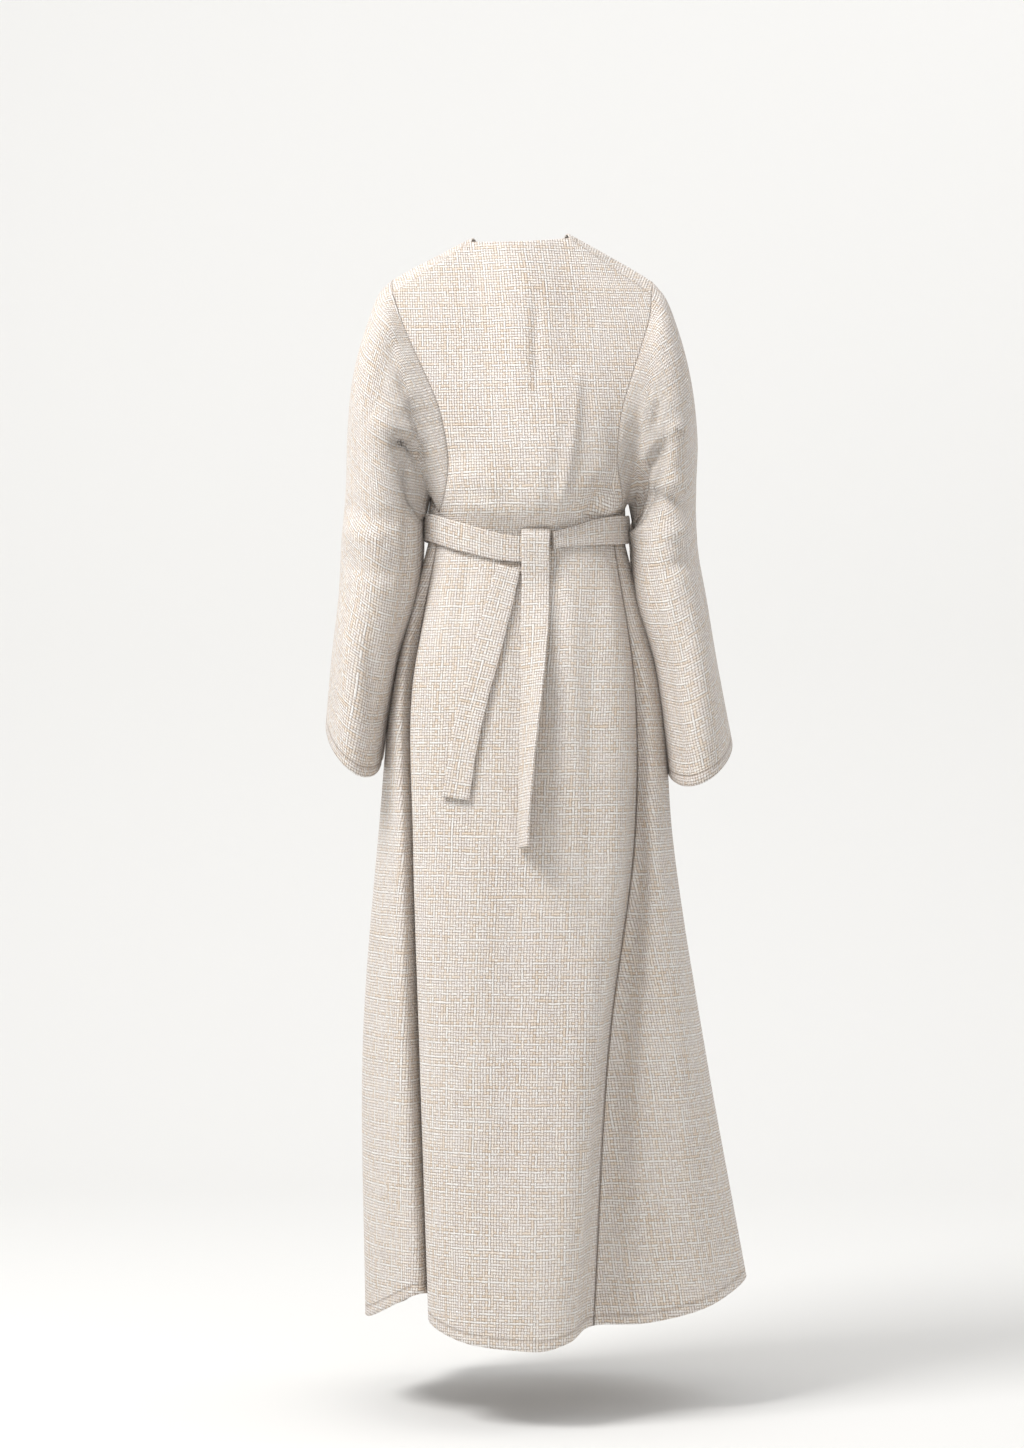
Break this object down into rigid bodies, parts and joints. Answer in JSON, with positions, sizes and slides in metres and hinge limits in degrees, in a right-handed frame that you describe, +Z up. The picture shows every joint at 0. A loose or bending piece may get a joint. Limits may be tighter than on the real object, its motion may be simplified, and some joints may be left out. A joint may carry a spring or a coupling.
{
  "type": "abaya",
  "caption": "Long open-front tweed abaya in worn shape, wide sleeves, self-fabric belt tied at the back.",
  "frame": {"origin": "top of the shoulders, on the garment's middle plane, where the shoulders carry it", "axes": "+Z up along the garment's length, +Y out of its back, +X to its own left side"},
  "size_m": [0.5684, 0.4154, 1.4717],
  "materials": {
    "tweed_body": "cream, ecru and grey-lilac boucle tweed with raised slub checks",
    "tweed_sleeve": "the same boucle tweed, its checks running along the sleeves",
    "tweed_belt": "doubled strip of the same boucle tweed"
  },
  "bodies": {
    "root": {"back": "tweed_body", "front_left": "tweed_body", "front_right": "tweed_body", "sleeve_left": "tweed_sleeve", "sleeve_right": "tweed_sleeve", "belt_run": "tweed_belt", "belt_knot": "tweed_belt", "belt_tail_centre": "tweed_belt", "belt_tail_left": "tweed_belt"}
  },
  "joints": []
}
